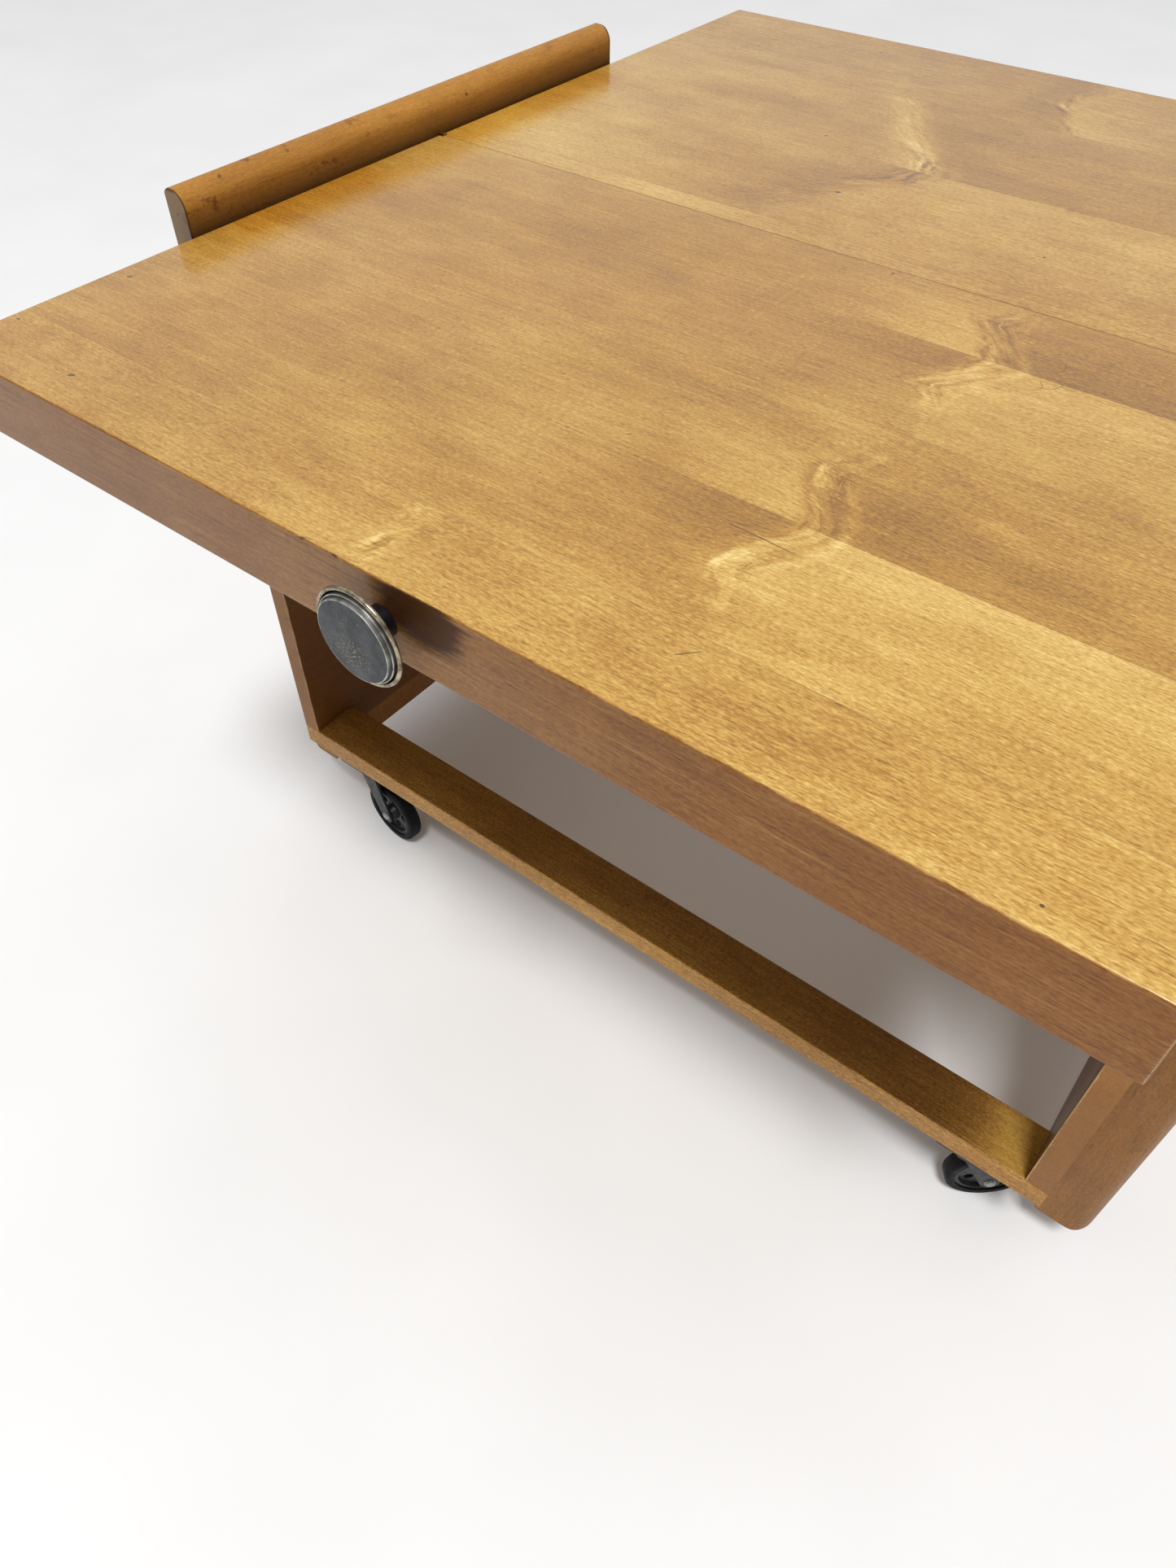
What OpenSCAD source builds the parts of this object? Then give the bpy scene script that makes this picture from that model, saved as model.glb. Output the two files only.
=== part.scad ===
// Rolling fold-over plank table.
// A two-leaf plank top slides front to back on a panel base with casters.
// The far leaf is hinged to the near leaf and folds up and over onto it.
// Origin: on the floor under the middle of the opened table. +X runs along its length, the knob faces -Y.

/* [Top] */
// Length of each leaf along X
leaf_len = 910; // [760:10:1100]
// Thickness of each leaf
leaf_t = 60; // [40:1:70]
// Height of the top's surface above the floor
top_z = 742; // [700:1:780]
// Widths of the near leaf's planks, front to seam
near_planks = [70.5, 120.5, 127.5, 124, 91.5]; // [60:0.5:150]
// Widths of the far leaf's planks, seam to back, with the same sum as the near leaf's
far_planks = [26, 170.4, 173.6, 164]; // [20:0.4:190]
// Rounding of the leaves' edges
leaf_edge_r = 2; // [1:0.5:4]
// Plan radius of the leaves' outer corners
leaf_corner_r = 9; // [4:1:14]

/* [Base] */
// Thickness of the end panels
panel_t = 22; // [18:1:28]
// Depth of the end panels along Y
panel_depth = 580; // [560:10:600]
// How far the end panels' bars stand above the top
bar_rise = 35; // [20:1:45]
// Gap between a leaf's end and the panel beside it
end_gap = 3; // [2:0.5:5]
// Thickness of the outer cheeks
cheek_t = 48; // [36:1:56]
// Depth of the outer cheeks along Y
cheek_depth = 516; // [480:4:540]
// Height of a cheek's foot above the floor
cheek_z = 59; // [50:1:70]
// Depth of the bottom rails along Y
rail_depth = 59; // [56:1:62]
// Thickness of the bottom rails
rail_t = 28; // [24:1:32]

/* [Slide] */
// How far the top slides from open to closed
slide_travel = 255; // [200:5:260]
// Length of the runners under the near leaf
runner_len = 260; // [220:10:280]

/* [Hinges] */
// Radius of the hinge pins
pin_r = 1.25; // [1:0.05:1.5]
// Height of the hinge axis above the top's surface
pin_rise = 0.4; // [0.3:0.1:1]

/* [Knob] */
// Radius of the knob's flange
knob_r = 34; // [28:1:36]
// How far the knob's face stands in front of the near leaf
knob_reach = 26; // [24:1:30]
// Offset of the knob from the middle of the leaf along X
knob_x = -6.5; // [-20:0.5:20]

/* [Casters] */
// Radius of the wheels
wheel_r = 42; // [36:1:44]
// Width of the tyres
tyre_w = 18; // [16:1:20]
// Distance from the swivel axis to the wheel's axis
trail = 32; // [28:1:34]
// Swivel angles at rest: front left, front right, rear left, rear right
caster_yaw = [-6.5, 38, 30, -12]; // [-180:1:180]

/* [Hidden] */
$fn = 64;
tiny = 0.01;
run_fit = 0.05;

leaf_depth = near_planks[0] + near_planks[1] + near_planks[2] + near_planks[3] + near_planks[4];
seam_y = knob_reach / 2;
seam_gap = 0.6;
front_y = seam_y - leaf_depth;
under_z = top_z - leaf_t;

panel_in = leaf_len / 2 + end_gap;
panel_out = panel_in + panel_t;
base_y = panel_depth / 2;
bar_z = top_z + bar_rise;
bar_inner_r = 16;
bar_outer_r = panel_t - bar_inner_r;

caster_h = 122;
rail_z = caster_h;
rail_mid = base_y - rail_depth / 2;
rail_edge_r = 2;
cheek_top = 706;
cheek_corner_r = 20;
cheek_plan_r = 14;

bearer_w = 28;
bearer_h = 42;
bearer_gap = 0.5;
bearer_len = 536;
stretcher_t = 22;
stretcher_h = 54;
stretcher_y = base_y - stretcher_t;

guide_x = 250;
guide_w = 64;
guide_z = under_z - 56;
guide_h = 46;
guide_len = stretcher_y * 2 + 14;
cavity_w = 44;
cavity_z = guide_z + 8;
cavity_h = 26;
slot_w = 24;
head_w = 40;
head_h = 21;
head_z = cavity_z + 4;
stem_w = 20;
runner_y = seam_y - 7 - runner_len;
stop_gap = 0.5;
guide_end = guide_len / 2;

pin_z = top_z + pin_rise;
eye_r = 2.6;
eye_len = 2.9;
eye_room_r = 3.2;
plate_t = 6;
plate_len = 56;
plate_h = 26;
plate_inset = 5;
hinge_screw_r = 2;
hinge_screw_head_r = 3.4;
hinge_screw_head_h = 2;
hinge_screw_len = 24;
hinge_screw_at = [20, 46];
hinge_slack = 0.3;

stem_r = 11;
knob_z = top_z - leaf_t / 2 - 1;
knob_back = knob_reach - 9.6;
knob_seat = knob_reach - 6.6;
knob_step = knob_reach - 2.8;
knob_rim_at = knob_reach - 5.7;
knob_rim_r = 1.6;
knob_face_r = knob_r - 5.6;
knob_step_r = knob_face_r + 1.8;
knob_bolt_r = 3;
knob_bolt_len = 52;
knob_bolt_in_knob = 17;

caster_x = 403;
plate_side = 56;
caster_plate_t = 3.5;
caster_screw_at = 21;
caster_screw_r = 2.4;
kingpin_r = 6;
kingpin_head_r = 8.5;
crown_r = 21;
crown_z = 112;
crown_h = 6.2;
leg_t = 3;
leg_in = 12;
axle_r = 4;
axle_head_r = 6;
hub_r = 33;
hub_w = 20;
web_w = 6;
fork_boss_r = 10;

screw_r = 2.5;
screw_head_r = 5;
screw_head_h = 3.5;
rail_screw_off = 14;
rail_screw_len = 62;
runner_screw_len = 64;

SIDES = ["left", "right"];
ENDS = ["front", "rear"];
CORNERS = ["front_left", "front_right", "rear_left", "rear_right"];

// ---- shared shapes ----

// Sum of the first n entries of a list.
function sum_to(list, n) = n == 0 ? 0 : list[n - 1] + sum_to(list, n - 1);

// Side sign: -1 on the left, 1 on the right (and -1 at the front, 1 at the rear).
function sign_of(i) = i % 2 == 0 ? -1 : 1;

// Corner i of the base: its X and Y signs.
function corner_x(i) = sign_of(i);
function corner_y(i) = i < 2 ? -1 : 1;

// Rectangle from the low corner, each corner with its own radius: low-left, low-right, top-right, top-left.
module soft_rect(size, radii) {
    w = size[0];
    h = size[1];
    corners = [[0, 0], [w, 0], [w, h], [0, h]];
    inward = [[1, 1], [-1, 1], [-1, -1], [1, -1]];
    difference() {
        square(size);
        for (i = [0:3]) {
            r = radii[i];
            if (r > 0) {
                translate(corners[i] + inward[i] * r) difference() {
                    translate([inward[i][0] > 0 ? -r - 1 : 0, inward[i][1] > 0 ? -r - 1 : 0]) square(r + 1);
                    circle(r);
                }
            }
        }
    }
}

// Prism along X, its outline given in Y and Z.
module along_x(x0, x1) {
    translate([x0, 0, 0]) rotate([90, 0, 90]) linear_extrude(x1 - x0) children();
}

// Prism along Y, its outline given in X and Z.
module along_y(y0, y1) {
    translate([0, y1, 0]) rotate([90, 0, 0]) linear_extrude(y1 - y0) children();
}

// Wood screw pointing up, its head's flat face at the origin.
module wood_screw(r, head_r, head_h, length) {
    cylinder(h = head_h, r1 = head_r, r2 = r);
    translate([0, 0, head_h]) cylinder(h = length - head_h - r * 2, r = r);
    translate([0, 0, length - r * 2]) cylinder(h = r * 2, r1 = r, r2 = r * 0.25);
}

// Space for that screw, a little larger all round.
module wood_screw_room(r, head_r, head_h, length) {
    translate([0, 0, -tiny]) cylinder(h = head_h + tiny, r1 = head_r + run_fit, r2 = r + run_fit);
    translate([0, 0, head_h]) cylinder(h = length - head_h + 1, r = r + run_fit);
}

// ---- leaves ----

// One leaf as a whole block with eased edges; back is true for the leaf whose free edge is at +Y.
module leaf_block(y0, y1, back) {
    free = leaf_edge_r;
    plan_r = leaf_corner_r;
    intersection() {
        along_x(-leaf_len / 2, leaf_len / 2) translate([y0, under_z])
            soft_rect([y1 - y0, leaf_t], back ? [0, free, free, 0] : [free, 0, 0, free]);
        along_y(y0 - 1, y1 + 1) translate([-leaf_len / 2, under_z])
            soft_rect([leaf_len, leaf_t], [free, free, free, free]);
        translate([-leaf_len / 2, y0, under_z - 1]) linear_extrude(leaf_t + 2)
            soft_rect([leaf_len, y1 - y0], back ? [0, 0, plan_r, plan_r] : [plan_r / 3, plan_r / 3, 0, 0]);
    }
}

// What the hinges need cut out of both leaves: knuckle room, plate recesses and screw holes.
module hinge_room() {
    for (s = [-1, 1]) {
        translate([0, seam_y, 0]) hinge_plate_place(s) along_x(-hinge_slack, plate_t + 1)
            translate([0, pin_z]) circle(eye_room_r);
        for (side = [-1, 1]) {
            mirror_to(side) hinge_plate_place(s) plate_outline_solid(plate_t + 1);
            mirror_to(side) hinge_screw_places(s) hinge_screw_room();
        }
    }
}

module hinge_screw_room() {
    wood_screw_room(hinge_screw_r, hinge_screw_head_r, hinge_screw_head_h, hinge_screw_len);
}

// Keeps a shape on the near leaf's side (-1) or mirrors it over the seam onto the far leaf's side (1).
module mirror_to(side) {
    translate([0, seam_y, 0]) mirror([0, side > 0 ? 1 : 0, 0]) children();
}

// Plank i of a leaf.
module plank(widths, i, y_start, y_low, y_high, back) {
    y0 = i == 0 ? y_low - 1 : y_start + sum_to(widths, i);
    y1 = i == len(widths) - 1 ? y_high + 1 : y_start + sum_to(widths, i + 1);
    difference() {
        intersection() {
            leaf_block(y_low, y_high, back);
            translate([-leaf_len, y0, under_z - 2]) cube([leaf_len * 2, y1 - y0, leaf_t + 4]);
        }
        children();
    }
}

module near_leaf_plank(i) {
    color("peru") plank(near_planks, i, front_y, front_y, seam_y - seam_gap / 2, false) {
        union() {
            if (i == len(near_planks) - 1) hinge_room();
            if (i == 0) knob_bolt_hole();
            if (i > 1) runner_screw_places() runner_screw_room();
        }
    }
}

module far_leaf_plank(i) {
    color("burlywood") plank(far_planks, i, seam_y, seam_y + seam_gap / 2, seam_y + leaf_depth, true) {
        if (i < 2) hinge_room();
    }
}

// ---- hinges ----

// Screw axes of one hinge plate, seen from the leaf's end towards its middle.
module hinge_screw_places(s) {
    for (d = hinge_screw_at) {
        translate([s * leaf_len / 2, -d, top_z - plate_inset - plate_h / 2]) rotate([0, -s * 90, 0]) children();
    }
}

// Outline of a hinge plate in Y and Z, Y counted from the seam.
module plate_outline() {
    translate([-plate_inset - plate_len, top_z - plate_inset - plate_h])
        soft_rect([plate_len, plate_h], [3, 3, 3, 3]);
}

module hinge_plate_place(s) {
    translate([s * (leaf_len / 2 - plate_t), 0, 0]) mirror([s < 0 ? 1 : 0, 0, 0]) children();
}

module plate_outline_solid(thickness) {
    along_x(0, thickness) {
        plate_outline();
        arm_outline();
    }
}

// Neck between the plate and its knuckle.
module arm_outline() {
    polygon([
        [-plate_inset - 9, top_z - plate_inset - 2],
        [-plate_inset - 2, top_z - plate_inset - 9],
        [-0.6, pin_z - 2.4],
        [-2.4, pin_z - 0.6]
    ]);
}

// Plate with its knuckle, which starts knuckle_at out from the hinge's inner face.
module hinge_plate(s, knuckle_at) {
    difference() {
        hinge_plate_place(s) {
            along_x(0, plate_t) plate_outline();
            along_x(knuckle_at, knuckle_at + eye_len) {
                arm_outline();
                translate([0, pin_z]) circle(eye_r);
            }
        }
        hinge_plate_place(s) along_x(-1, plate_t + 1) translate([0, pin_z]) circle(pin_r + run_fit);
        hinge_screw_places(s) hinge_screw_room();
    }
}

module near_hinge_plate(s) {
    color("goldenrod") mirror_to(-1) hinge_plate(s, plate_t - eye_len);
}

module far_hinge_plate(s) {
    color("goldenrod") mirror_to(1) hinge_plate(s, 0);
}

module hinge_pin(s) {
    color("gainsboro") mirror_to(-1) hinge_plate_place(s)
        along_x(0, plate_t) translate([0, pin_z]) circle(pin_r);
}

module hinge_screws(side) {
    color("gainsboro") mirror_to(side) {
        for (s = [-1, 1]) {
            hinge_screw_places(s)
                wood_screw(hinge_screw_r, hinge_screw_head_r, hinge_screw_head_h, hinge_screw_len);
        }
    }
}

// ---- base ----

// Outline of an end panel with its rounded bar, in X and Z, outer face at panel_out.
module panel_outline() {
    translate([panel_in, rail_z]) soft_rect([panel_t, bar_z - rail_z], [0, 0, bar_outer_r, bar_inner_r]);
}

module end_panel(i) {
    color("sienna") mirror([i == 0 ? 1 : 0, 0, 0]) difference() {
        intersection() {
            along_y(-base_y, base_y) panel_outline();
            along_x(0, panel_out + 1) translate([-base_y, rail_z])
                soft_rect([panel_depth, bar_z - rail_z], [0, 0, 4, 4]);
        }
        for (e = [-1, 1]) {
            translate([panel_in - 1, e > 0 ? base_y - rail_depth : -base_y - 1, rail_z - 1])
                cube([panel_t + 2, rail_depth + 1, rail_t + 1]);
        }
        rail_screw_places() rail_screw_room();
    }
}

module outer_cheek(i) {
    r = cheek_corner_r;
    color("peru") mirror([i == 0 ? 1 : 0, 0, 0]) intersection() {
        along_y(-cheek_depth / 2, cheek_depth / 2) translate([panel_out, cheek_z])
            soft_rect([cheek_t, cheek_top - cheek_z], [3, r, r, 0]);
        translate([panel_out, -cheek_depth / 2, cheek_z - 1]) linear_extrude(cheek_top - cheek_z + 2)
            soft_rect([cheek_t, cheek_depth], [0, cheek_plan_r, cheek_plan_r, 0]);
    }
}

module bottom_rail(e) {
    side = sign_of(e);
    color("tan") difference() {
        along_x(-panel_out, panel_out) translate([side > 0 ? base_y - rail_depth : -base_y, rail_z])
            soft_rect([rail_depth, rail_t], [rail_edge_r, rail_edge_r, rail_edge_r, rail_edge_r]);
        for (i = [e * 2, e * 2 + 1]) {
            at_caster(i) translate([0, 0, caster_h - tiny]) {
                cylinder(h = 7, r = kingpin_head_r + 1.5);
                caster_screw_places() cylinder(h = 18, r = caster_screw_r + run_fit);
            }
        }
        rail_screw_places() rail_screw_room();
        mirror([1, 0, 0]) rail_screw_places() rail_screw_room();
    }
}

module upper_stretcher(e) {
    side = sign_of(e);
    color("tan") along_x(-panel_in, panel_in)
        translate([side > 0 ? stretcher_y : -base_y, guide_z - stretcher_h])
        soft_rect([stretcher_t, stretcher_h], [1, 1, 1, 1]);
}

module side_bearer(i) {
    color("tan") mirror([i == 0 ? 1 : 0, 0, 0])
        along_y(-bearer_len / 2, bearer_len / 2)
        translate([panel_in - bearer_w, under_z - bearer_gap - bearer_h])
        soft_rect([bearer_w, bearer_h], [2, 0, 0, 2]);
}

// Screw axes through the rails up into the right-hand end panel.
module rail_screw_places() {
    for (e = [-1, 1]) {
        for (d = [-rail_screw_off, rail_screw_off]) {
            translate([panel_in + panel_t / 2, e * rail_mid + d, rail_z]) children();
        }
    }
}

module rail_screw_room() {
    wood_screw_room(screw_r, screw_head_r, screw_head_h, rail_screw_len);
}

module rail_screws() {
    color("gainsboro") for (m = [0, 1]) {
        mirror([m, 0, 0]) rail_screw_places() wood_screw(screw_r, screw_head_r, screw_head_h, rail_screw_len);
    }
}

// ---- slide ----

module slide_guide(i) {
    color("tan") translate([sign_of(i) * guide_x, 0, 0]) difference() {
        along_y(-guide_end, guide_end) translate([-guide_w / 2, guide_z])
            soft_rect([guide_w, guide_h], [2, 2, 2, 2]);
        along_y(-guide_end - 1, guide_end + 1) {
            translate([-cavity_w / 2, cavity_z]) square([cavity_w, cavity_h]);
            translate([-slot_w / 2, cavity_z]) square([slot_w, guide_h]);
        }
    }
}

// Blocks that close the channels where the runners end their travel.
module guide_stops() {
    front_stop = runner_y - stop_gap;
    rear_stop = runner_y + runner_len + slide_travel + stop_gap;
    color("sienna") for (s = [-1, 1]) {
        translate([s * guide_x, 0, 0]) {
            along_y(-guide_end, front_stop) translate([-cavity_w / 2, cavity_z]) square([cavity_w, cavity_h]);
            along_y(rear_stop, guide_end) translate([-cavity_w / 2, cavity_z]) square([cavity_w, cavity_h]);
        }
    }
}

module slide_runner(i) {
    color("wheat") translate([sign_of(i) * guide_x, 0, 0]) difference() {
        along_y(runner_y, runner_y + runner_len) {
            translate([-head_w / 2, head_z]) soft_rect([head_w, head_h], [2, 2, 2, 2]);
            translate([-stem_w / 2, head_z + 1]) square([stem_w, under_z - head_z - 1]);
        }
        translate([-sign_of(i) * guide_x, 0, 0])
            runner_screw_places() runner_screw_room();
    }
}

module runner_screw_places() {
    for (s = [-1, 1]) {
        for (d = [0.12, 0.5, 0.88]) {
            translate([s * guide_x, runner_y + runner_len * d, head_z]) children();
        }
    }
}

module runner_screw_room() {
    wood_screw_room(screw_r, screw_head_r, screw_head_h, runner_screw_len);
}

module runner_screws() {
    color("gainsboro") runner_screw_places() wood_screw(screw_r, screw_head_r, screw_head_h, runner_screw_len);
}

// ---- knob ----

// Places a shape turned about Z onto the knob's axis, its +Z pointing out of the near leaf's front face.
module at_knob() {
    translate([knob_x, front_y, knob_z]) rotate([90, 0, 0]) children();
}

module knob_bolt_hole() {
    at_knob() translate([0, 0, -knob_bolt_len + knob_bolt_in_knob - 1])
        cylinder(h = knob_bolt_len, r = knob_bolt_r + run_fit);
}

module knob_stem() {
    color("dimgray") at_knob() difference() {
        cylinder(h = knob_back, r = stem_r);
        translate([0, 0, -1]) cylinder(h = knob_back + 2, r = knob_bolt_r + run_fit);
    }
}

// Dished flange with a round bead at its rim.
module knob_flange() {
    bead_x = knob_r - knob_rim_r;
    color("darkgoldenrod") at_knob() difference() {
        rotate_extrude() {
            polygon([
                [0, knob_back], [stem_r + 3, knob_back], [bead_x, knob_rim_at - knob_rim_r],
                [bead_x, knob_rim_at + knob_rim_r * 0.6], [bead_x - 1.4, knob_seat], [0, knob_seat]
            ]);
            translate([bead_x, knob_rim_at]) circle(knob_rim_r);
        }
        translate([0, 0, knob_back - 1])
            cylinder(h = knob_bolt_in_knob - knob_back + 1, r = knob_bolt_r + run_fit);
    }
}

// Stepped round block with a slightly domed face.
module knob_face() {
    color("slategray") at_knob() rotate_extrude() polygon([
        [0, knob_seat], [knob_step_r, knob_seat],
        [knob_step_r, knob_step - 0.4], [knob_step_r - 0.4, knob_step],
        [knob_face_r, knob_step], [knob_face_r, knob_reach - 0.8], [knob_face_r - 0.6, knob_reach - 0.2],
        [knob_face_r * 0.5, knob_reach - 0.05], [0, knob_reach]
    ]);
}

module knob_bolt() {
    color("gainsboro") at_knob() translate([0, 0, knob_bolt_in_knob - knob_bolt_len])
        cylinder(h = knob_bolt_len, r = knob_bolt_r);
}

// ---- casters ----

// Places a shape on caster i's swivel axis, turned to its rest angle.
module at_caster(i) {
    translate([corner_x(i) * caster_x, corner_y(i) * rail_mid, 0]) children();
}

module at_fork(i) {
    at_caster(i) rotate([0, 0, caster_yaw[i]]) children();
}

module caster_screw_places() {
    for (x = [-1, 1]) {
        for (y = [-1, 1]) {
            translate([x * caster_screw_at, y * caster_screw_at, 0]) children();
        }
    }
}

module caster_plate(i) {
    z = caster_h - caster_plate_t;
    color("dimgray") at_caster(i) difference() {
        translate([-plate_side / 2, -plate_side / 2, z]) linear_extrude(caster_plate_t)
            soft_rect([plate_side, plate_side], [6, 6, 6, 6]);
        translate([0, 0, z - 1]) cylinder(h = caster_plate_t + 2, r = kingpin_r + run_fit);
        translate([0, 0, z - 1]) caster_screw_places()
            cylinder(h = caster_plate_t + 2, r = caster_screw_r + run_fit);
    }
}

// Side outline of a fork leg, in X and Z from the swivel axis.
module leg_outline() {
    polygon([
        [-15, crown_z + 1], [17, crown_z + 1], [26, 88], [trail + 9.6, wheel_r + 3],
        [trail - 9, wheel_r - 4.4], [-4, 92], [-15, 104]
    ]);
    translate([trail, wheel_r]) circle(fork_boss_r);
}

module caster_fork(i) {
    neck_top = caster_h + 0.3;
    color("dimgray") at_fork(i) difference() {
        union() {
            translate([0, 0, crown_z]) cylinder(h = crown_h, r = crown_r);
            translate([0, 0, crown_z]) cylinder(h = neck_top - crown_z, r = kingpin_r);
            translate([0, 0, neck_top]) cylinder(h = 3, r = kingpin_head_r);
            for (y = [-leg_in - leg_t, leg_in]) along_y(y, y + leg_t) leg_outline();
            translate([-15, -leg_in - leg_t, crown_z]) cube([32, (leg_in + leg_t) * 2, 3]);
        }
        translate([trail, 20, wheel_r]) rotate([90, 0, 0]) cylinder(h = 40, r = axle_r + run_fit);
    }
}

// Places a shape turned about Z onto the wheel's axle, its middle at the wheel's middle.
module at_wheel(i) {
    at_fork(i) translate([trail, 0, wheel_r]) rotate([90, 0, 0]) children();
}

module caster_axle(i) {
    out = leg_in + leg_t + run_fit;
    color("gainsboro") at_wheel(i) {
        translate([0, 0, -out]) cylinder(h = out * 2, r = axle_r);
        for (m = [0, 1]) {
            mirror([0, 0, m]) translate([0, 0, out]) cylinder(h = 2, r1 = axle_head_r, r2 = axle_head_r - 1.4);
        }
    }
}

module caster_hub(i) {
    color("slategray") at_wheel(i) difference() {
        rotate_extrude() polygon([
            [axle_r + run_fit, -hub_w / 2], [9, -hub_w / 2], [11, -web_w / 2], [hub_r - 5, -web_w / 2],
            [hub_r - 4, -tyre_w / 2 + 2], [hub_r, -tyre_w / 2 + 2], [hub_r, tyre_w / 2 - 2],
            [hub_r - 4, tyre_w / 2 - 2], [hub_r - 5, web_w / 2], [11, web_w / 2], [9, hub_w / 2],
            [axle_r + run_fit, hub_w / 2]
        ]);
        for (a = [0:72:288]) {
            rotate([0, 0, a]) translate([(11 + hub_r - 5) / 2, 0, -hub_w]) cylinder(h = hub_w * 2, r = 5);
        }
    }
}

module caster_tyre(i) {
    r = 4;
    color("black") at_wheel(i) rotate_extrude() translate([hub_r, -tyre_w / 2])
        soft_rect([wheel_r - hub_r, tyre_w], [1, r, r, 1]);
}

module caster_screws() {
    color("gainsboro") for (i = [0:3]) {
        at_caster(i) caster_screw_places() {
            translate([0, 0, caster_h - caster_plate_t - 2.4]) cylinder(h = 2.4, r1 = 2.8, r2 = 4.4);
            translate([0, 0, caster_h - caster_plate_t]) cylinder(h = 16, r = caster_screw_r);
        }
    }
}

// ---- what is drawn ----

for (i = [0:len(near_planks) - 1]) {
    near_leaf_plank(i);
}
for (i = [0:len(far_planks) - 1]) {
    far_leaf_plank(i);
}
for (i = [0, 1]) {
    end_panel(i);
    outer_cheek(i);
    bottom_rail(i);
    upper_stretcher(i);
    side_bearer(i);
    slide_guide(i);
    slide_runner(i);
    near_hinge_plate(sign_of(i));
    far_hinge_plate(sign_of(i));
    hinge_pin(sign_of(i));
}
for (i = [0:3]) {
    caster_plate(i);
    caster_fork(i);
    caster_axle(i);
    caster_hub(i);
    caster_tyre(i);
}
guide_stops();
runner_screws();
rail_screws();
hinge_screws(-1);  // near_hinge_screws
hinge_screws(1);  // far_hinge_screws
knob_flange();
knob_face();
knob_stem();
knob_bolt();
caster_screws();
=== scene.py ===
"""Looks for the rolling fold-over plank table: materials, a finer knob, stage, light and camera."""
import math

import bmesh
import bpy
from mathutils import Matrix, Vector


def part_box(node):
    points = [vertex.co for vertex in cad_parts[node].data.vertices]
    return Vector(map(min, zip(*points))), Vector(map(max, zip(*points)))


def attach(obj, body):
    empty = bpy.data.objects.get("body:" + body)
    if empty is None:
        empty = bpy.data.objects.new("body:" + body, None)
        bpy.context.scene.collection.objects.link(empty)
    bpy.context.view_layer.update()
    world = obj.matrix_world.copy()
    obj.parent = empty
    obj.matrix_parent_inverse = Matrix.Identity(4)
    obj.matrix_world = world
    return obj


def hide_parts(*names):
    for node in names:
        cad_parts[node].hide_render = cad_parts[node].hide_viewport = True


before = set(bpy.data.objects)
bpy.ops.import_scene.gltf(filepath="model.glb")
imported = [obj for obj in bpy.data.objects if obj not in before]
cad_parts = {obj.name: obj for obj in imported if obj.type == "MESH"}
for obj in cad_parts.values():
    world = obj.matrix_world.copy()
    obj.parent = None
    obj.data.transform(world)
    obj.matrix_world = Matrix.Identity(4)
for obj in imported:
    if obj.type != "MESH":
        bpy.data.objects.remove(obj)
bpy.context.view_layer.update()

# ---- the frame's own measures, in metres ----

NEAR_PLANKS = [f"near_leaf_plank_{i}" for i in range(1, 6)]
FAR_PLANKS = [f"far_leaf_plank_{i}" for i in range(1, 5)]
CORNERS = ["front_left", "front_right", "rear_left", "rear_right"]
LEAF_LOW, LEAF_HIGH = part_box(NEAR_PLANKS[0])
TOP_Z = LEAF_HIGH.z
FRONT_Y = LEAF_LOW.y
SEAM_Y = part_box(FAR_PLANKS[0])[0].y
BACK_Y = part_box(FAR_PLANKS[-1])[1].y
PANEL_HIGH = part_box("end_panel_left")[1]
BAR_X = PANEL_HIGH.x
BAR_HALF = PANEL_HIGH.y
KNOB_LOW, KNOB_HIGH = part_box("knob_flange")
KNOB = (KNOB_LOW + KNOB_HIGH) / 2


# ---- node helpers ----

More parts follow.
